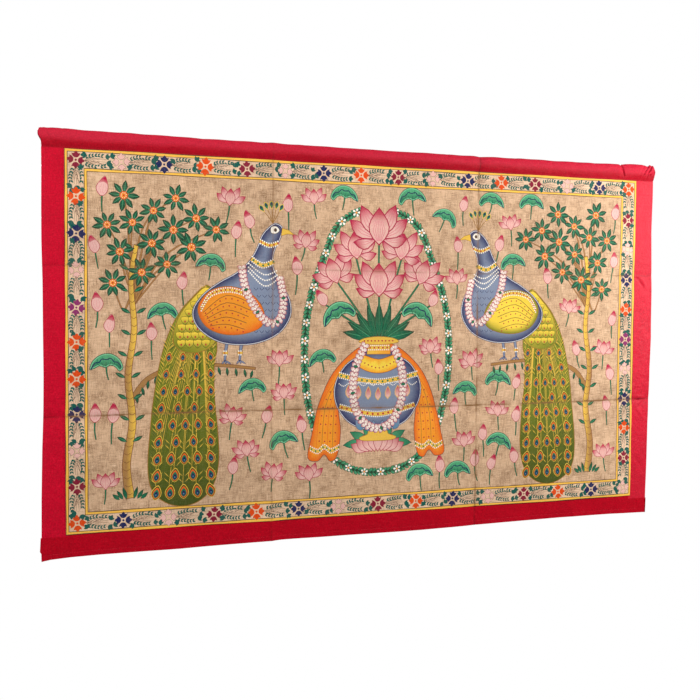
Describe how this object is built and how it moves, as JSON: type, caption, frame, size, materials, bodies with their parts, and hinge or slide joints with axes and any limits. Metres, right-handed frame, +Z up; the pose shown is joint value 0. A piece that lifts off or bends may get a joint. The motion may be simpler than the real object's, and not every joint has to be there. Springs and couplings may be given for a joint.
{
  "type": "pichwai painting",
  "caption": "Painted cotton wall hanging with a floral border, red cloth edging, a rod sleeve along the top and a hem band.",
  "frame": {"origin": "middle of the top edge, in the plane of the cloth", "axes": "+X along the cloth to the right as seen from the painted side, +Y to the back, +Z up"},
  "size_m": [1.8462, 0.0234, 1.0962],
  "materials": {
    "painted_cotton": "hand-painted, matte, with gold-coloured lines",
    "red_cotton": "plain weave, matte"
  },
  "bodies": {
    "root": {"painted_cloth": "painted_cotton", "left_strip": "red_cotton", "right_strip": "red_cotton", "top_sleeve": "red_cotton", "bottom_band": "red_cotton"}
  },
  "joints": []
}
